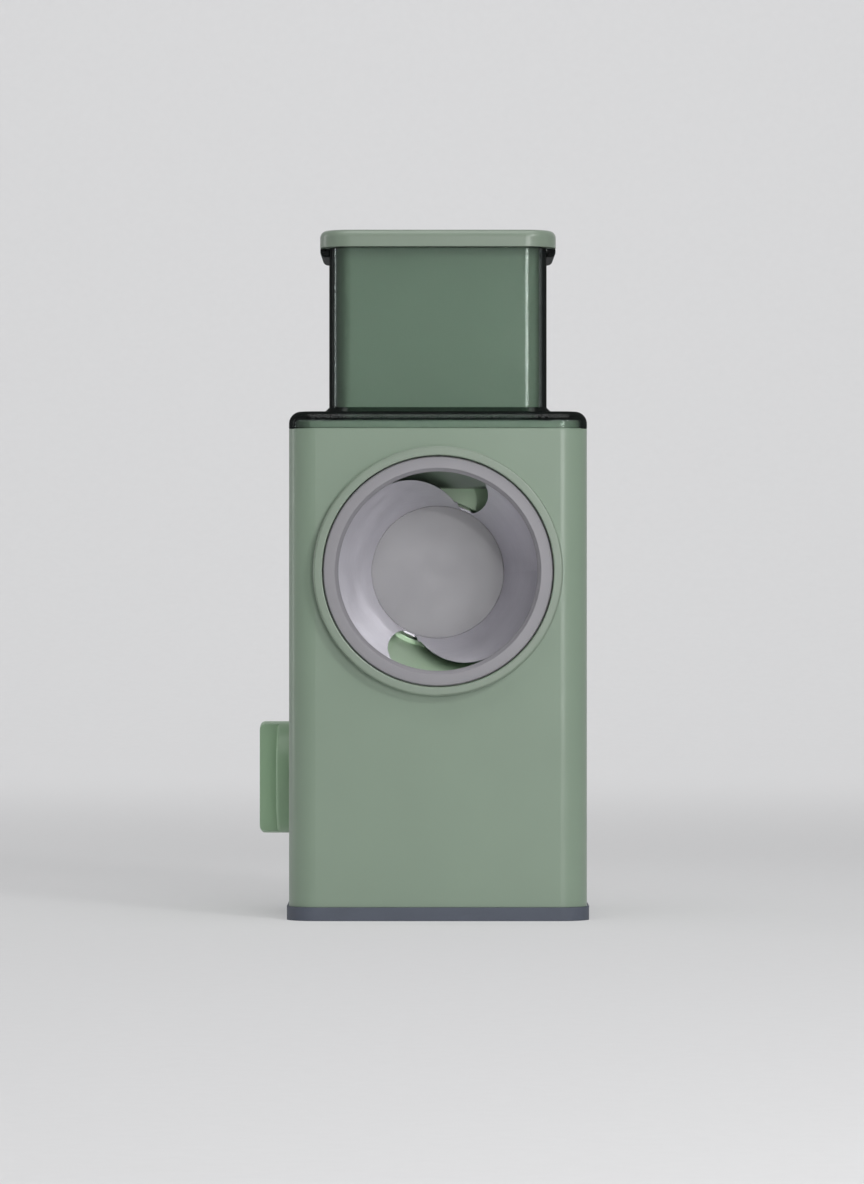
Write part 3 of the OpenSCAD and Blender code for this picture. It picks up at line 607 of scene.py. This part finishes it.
@dataclass
class Finishes:
    """Every finish of the machine, made once."""

    green: bpy.types.Material = field(init=False)
    pale_green: bpy.types.Material = field(init=False)
    painted_lit_inner_green: bpy.types.Material = field(init=False)
    smoke: bpy.types.Material = field(init=False)
    grey: bpy.types.Material = field(init=False)
    acetal: bpy.types.Material = field(init=False)
    painted_lit_knob_green: bpy.types.Material = field(init=False)
    foot: bpy.types.Material = field(init=False)
    cup: bpy.types.Material = field(init=False)
    sheet: bpy.types.Material = field(init=False)
    edge: bpy.types.Material = field(init=False)
    plated: bpy.types.Material = field(init=False)

    def __post_init__(self) -> None:
        """Builds the materials."""
        # grey green, satin: the large outer mouldings
        self.green = MouldedAbs("green_abs", "879a87", roughness=0.38).build()
        # greyer and glossier, so that it catches more light: collar and caps
        self.pale_green = MouldedAbs("pale_green_abs", "819080", roughness=0.34).build()
        # clear smoky skirt, column and ledges of the hopper
        self.smoke = SmokySan("smoky_san").build()
        # cool grey ring and disc that carry the drum
        self.grey = MouldedAbs("grey_abs", "868489", roughness=0.4).build()
        # painted light: much lighter than the body, standing in for the light that hardly reaches the
        # chamber, so that the inside behind the drum's slots shows
        self.painted_lit_inner_green = MouldedAbs("painted_lit_inner_green_abs", "d4f2ce", roughness=0.5).build()
        # milky, waxy working parts out of sight
        self.acetal = MouldedAbs("natural_acetal", "dcdcd6", roughness=0.42, ior=1.48).build()
        # painted light: lighter than the body, standing in for the light that the body's shadow keeps
        # off the knob
        self.painted_lit_knob_green = MouldedAbs("painted_lit_knob_green_abs", "a4c4a1").build()
        # blue grey foot
        self.foot = SoftRubber("grey_rubber", "565c68").build()
        # smoother, so that it holds on a worktop
        self.cup = SoftRubber("suction_rubber", "5d626a", roughness=0.45).build()
        # rolled sheet, soft broad highlights round the cone
        self.sheet = SteelSheet("satin_stainless", "c0bec5", roughness=0.5).build()
        # ground after hardening: a shade darker than the sheet, with finer lines
        self.edge = SteelSheet("ground_stainless", "b5b5ba", roughness=0.48,
                               lay=Lay.CROSS, line_mm=0.25).build()
        # zinc plated, drawn: screws, shafts and pins
        self.plated = SteelSheet("plated_steel", "b4b6ba", roughness=0.3,
                                 lay=Lay.CROSS, line_mm=0.6).build()


@dataclass
class SubAssembly:
    """Pieces that are mounted together, each with the finish that it takes."""

    finishes: Finishes

    def wear(self) -> dict[bpy.types.Material, tuple[str, ...]]:
        """Returns the CAD nodes that each finish goes on."""
        raise NotImplementedError

    def build(self) -> None:
        """Gives every CAD node of the sub-assembly its finish."""
        for material, nodes in self.wear().items():
            for name in nodes:
                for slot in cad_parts[name].material_slots:
                    slot.material = material
                LOG.info("%s: %s", name, material.name)


@dataclass
class Housing(SubAssembly):
    """Body, chamber, collar, foot and base, with their screws."""

    def wear(self) -> dict[bpy.types.Material, tuple[str, ...]]:
        """Returns the CAD nodes that each finish goes on."""
        return {self.finishes.green: ("body_shell", "base_cover"),
                self.finishes.painted_lit_inner_green: ("drum_chamber",),
                self.finishes.pale_green: ("front_collar",),
                self.finishes.foot: ("foot_pad",),
                self.finishes.acetal: ("rear_bush",),
                self.finishes.plated: ("chamber_screws", "base_screws")}


@dataclass
class Feed(SubAssembly):
    """Smoky hopper and the pusher that slides in it."""

    def wear(self) -> dict[bpy.types.Material, tuple[str, ...]]:
        """Returns the CAD nodes that each finish goes on."""
        return {self.finishes.smoke: ("feed_hopper",),
                self.finishes.green: ("pusher_body",),
                self.finishes.pale_green: ("pusher_cap",)}


@dataclass
class Drum(SubAssembly):
    """Slicing cone with its edges, ring and hub."""

    def wear(self) -> dict[bpy.types.Material, tuple[str, ...]]:
        """Returns the CAD nodes that each finish goes on."""
        return {self.finishes.sheet: ("drum_cone",),
                self.finishes.edge: ("slicing_blades",),
                self.finishes.grey: ("drum_front_ring", "drum_hub")}


@dataclass
class Crank(SubAssembly):
    """Shaft, arm and the grip that turns on its pin."""

    def wear(self) -> dict[bpy.types.Material, tuple[str, ...]]:
        """Returns the CAD nodes that each finish goes on."""
        return {self.finishes.green: ("crank_arm", "crank_grip"),
                self.finishes.pale_green: ("grip_cap",),
                self.finishes.plated: ("drive_shaft", "crank_screw", "grip_pin")}


@dataclass
class SuctionLock(SubAssembly):
    """Knob, cam and stem, and the soft cup.

    The cup is one revolved surface and doesn't stretch with the stem, where a real cup keeps its whole
    rim down as its middle rises. Its sizes are in millimetres: names in _r are radii and names in _z
    heights.
    """

    lip_r: float = 42.0
    lip_w: float = 4.0
    lip_top_r: float = 36.6
    lip_top_z: float = 2.95
    skirt_r: float = 33.6
    skirt_z: float = 2.6
    web_r: float = 33.0
    web_z: float = 0.8
    neck_r: float = 3.95
    low_z: float = 0.2
    hollow_z: float = 2.4
    hollow_r: float = 12.0
    boss_r: float = 13.0
    boss_z: float = 8.0
    root_r: float = 16.0
    root_z: float = 4.0
    blend_z: float = 1.7
    blend_gap: float = 1.0
    arc_steps: int = 7
    turn_steps: int = 144

    def wear(self) -> dict[bpy.types.Material, tuple[str, ...]]:
        """Returns the CAD nodes that each finish goes on."""
        return {self.finishes.painted_lit_knob_green: ("lock_knob",),
                self.finishes.acetal: ("lift_cam", "stem_yoke"),
                self.finishes.plated: ("cam_shaft", "shaft_clip", "knob_screw", "clamp_washer",
                                       "stem_screw")}

    def cup(self) -> bpy.types.Object:
        """Makes the cup as one revolved outline with soft corners.

        Returns:
            The cup, which sits between the housing and the stem.
        """
        # radius, height and rounding of each corner: the hollow underneath, the lip, then the top
        corners = [
            (self.neck_r, self.hollow_z, 0.0), (self.hollow_r, self.hollow_z, 4.0),
            (self.web_r, self.web_z, 8.0), (self.lip_r - self.lip_w, self.low_z, 2.0),
            (self.lip_r, self.low_z, 0.7), (self.lip_r, self.lip_top_z, 0.5),
            (self.lip_top_r, self.lip_top_z, 0.5), (self.skirt_r, self.skirt_z, 1.5),
            (self.root_r, self.root_z, 2.0), (self.boss_r, self.boss_z, 1.0),
            (self.neck_r, self.boss_z, 0.0),
        ]
        verts, faces = revolve(rounded_profile(corners, self.arc_steps) * MM, self.turn_steps)
        piece = mesh_piece("suction_cup_soft", verts, faces[:, ::-1], self.finishes.cup)
        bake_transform(piece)
        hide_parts("suction_cup")
        LOG.info("%s: %d faces", piece.name, len(faces))
        return piece

    def build(self) -> None:
        """Dresses the lock and makes its cup."""
        super().build()
        self.cup()


# ---- studio ----


@dataclass(frozen=True)
class Lamp:
    """A soft rectangular lamp, placed by its bearing from the machine: degrees, metres and watts."""

    name: str
    right_deg: float
    up_deg: float
    reach: float
    size: Pair
    power: float
    aim: Point = (0.0, 0.0, 0.13)

    def source(self) -> bpy.types.Light:
        """Makes the light itself.

        Returns:
            The light, without its power.
        """
        data = bpy.data.lights.new(self.name, "AREA")
        data.shape = "RECTANGLE"
        data.size, data.size_y = self.size
        return data

    def build(self) -> bpy.types.Object:
        """Places the lamp right and up of the line from the machine to the camera.

        Returns:
            The lamp, turned to what it aims at.
        """
        data = self.source()
        data.energy = self.power
        side, up = math.radians(self.right_deg), math.radians(self.up_deg)
        away = Vector((math.sin(side) * math.cos(up), -math.cos(side) * math.cos(up), math.sin(up)))
        lamp = bpy.data.objects.new(self.name, data)
        lamp.location = Vector(self.aim) + away * self.reach
        lamp.rotation_euler = (-away).to_track_quat("-Z", "Y").to_euler()
        bpy.context.scene.collection.objects.link(lamp)
        return lamp


@dataclass(frozen=True)
class Snoot(Lamp):
    """A narrow beam as wide as size[0] where it lands, from a source as wide as size[1]."""

    blend: float = 0.25

    def source(self) -> bpy.types.Light:
        """Makes the light itself.

        Returns:
            The light, without its power.
        """
        data = bpy.data.lights.new(self.name, "SPOT")
        data.spot_size = 2 * math.atan(self.size[0] / 2 / self.reach)
        data.spot_blend = self.blend
        data.shadow_soft_size = self.size[1] / 2
        return data


@dataclass
class Studio:
    """Pale sweep, soft lamps and the camera.

    The body's front face shows at px_per_m pixels to a metre, with the foot's underside foot_px down the
    frame and the middle of the body centre_px across it.
    """

    px_per_m: float = 2722.0
    foot_px: float = 921.0
    centre_px: float = 438.0
    front_y: float = -0.052
    distance: float = 2.0
    sensor: float = 36.0
    clip_start: float = 0.05
    wall_y: float = 2.7
    bend: float = 0.9
    wall_top: float = 3.2
    front_edge: float = -3.2
    half_width: float = 4.0
    floor_steps: int = 11
    bend_steps: int = 24
    wall_steps: int = 6
    side_steps: int = 8
    room: str = "f4f5f7"
    room_strength: float = 0.15
    far_strength: float = 0.42
    lamps: tuple[Lamp, ...] = (
        Lamp("key", 11.0, 6.0, 1.7, (0.35, 0.35), 3.1),
        Lamp("side", 32.0, 28.0, 1.8, (0.28, 0.28), 7.6),
        Lamp("strip", 16.0, 2.0, 1.45, (0.07, 1.1), 3.2),
        Lamp("edge", -111.0, 4.0, 1.1, (0.06, 1.0), 1.8),
        Lamp("top", 8.0, 76.0, 1.5, (1.3, 1.3), 10.5),
        Snoot("high_snoot", 6.0, 9.0, 1.95, (0.078, 0.03), 25.0, aim=MOUTH),
        Snoot("low_snoot", 5.0, -3.0, 1.95, (0.075, 0.03), 21.0, aim=MOUTH),
        Lamp("wall", 0.0, 30.0, 1.7, (3.2, 0.8), 20.0, aim=(0.0, 2.7, 0.5)),
    )

    def sweep(self) -> bpy.types.Object:
        """Makes the floor that turns up into the backdrop.

        The profile runs along the floor, round a quarter circle and up the wall; it is carried along X.

        Returns:
            The sweep.
        """
        turn = np.linspace(-np.pi / 2, 0, self.bend_steps + 1)
        start = self.wall_y - self.bend
        along = np.linspace(self.front_edge, start, self.floor_steps + 1)[:-1]
        floor = np.stack([along, np.zeros(self.floor_steps)], axis=1)
        arc = np.stack([start + self.bend * np.cos(turn), self.bend + self.bend * np.sin(turn)], axis=1)
        up = np.linspace(self.bend, self.wall_top, self.wall_steps + 1)[1:]
        wall = np.stack([np.full(self.wall_steps, self.wall_y), up], axis=1)
        line = np.concatenate([floor, arc, wall])
        x = np.linspace(-self.half_width, self.half_width, self.side_steps + 1)
        shape = (len(line), len(x))
        verts = np.stack([np.broadcast_to(x[None, :], shape), np.broadcast_to(line[:, :1], shape),
                          np.broadcast_to(line[:, 1:], shape)], axis=-1)
        paper = BackdropPaper("backdrop_paper", "e9e9ea").build()
        piece = mesh_piece("paper_sweep", verts, grid_faces(*shape)[:, ::-1], paper)
        return piece

    def air(self) -> None:
        """Fills the room with a pale, even light; past the paper's edges the room looks paler still."""
        world = bpy.data.worlds.new("room")
        bpy.context.scene.world = world
        world.use_nodes = True
        tree = world.node_tree
        tree.nodes.clear()
        out = add(tree, "ShaderNodeOutputWorld")
        strength = add(tree, "ShaderNodeMath",
                       {0: seen(tree), 1: self.far_strength - self.room_strength,
                        2: self.room_strength}, operation="MULTIPLY_ADD")
        air = add(tree, "ShaderNodeBackground",
                  {"Color": linear(self.room), "Strength": strength.outputs[0]})
        tree.links.new(air.outputs["Background"], out.inputs["Surface"])

    def camera(self) -> None:
        """Sets the camera square to the front, level, at about the drum's height."""
        width, height = IMAGE_PX
        data = bpy.data.cameras.new("camera")
        data.sensor_fit = "VERTICAL"
        data.sensor_height = self.sensor
        data.lens = self.sensor * self.distance / (height / self.px_per_m)
        data.clip_start = self.clip_start
        camera = bpy.data.objects.new("camera", data)
        x = -(self.centre_px - width / 2) / self.px_per_m
        z = (self.foot_px - height / 2) / self.px_per_m
        camera.location = (x, self.front_y - self.distance, z)
        camera.rotation_euler = (math.pi / 2, 0.0, 0.0)
        bpy.context.scene.collection.objects.link(camera)
        bpy.context.scene.camera = camera

    def build(self) -> None:
        """Sets up the room."""
        bpy.context.scene.view_settings.view_transform = "Standard"
        self.sweep()
        self.air()
        for lamp in self.lamps:
            lamp.build()
        self.camera()


def main() -> None:
    """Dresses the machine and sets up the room."""
    logging.basicConfig(level=logging.INFO, format="%(name)s %(message)s")
    finishes = Finishes()
    for part in (Housing, Feed, Drum, Crank, SuctionLock):
        part(finishes).build()
    Studio().build()


if __name__ == "__main__":
    main()
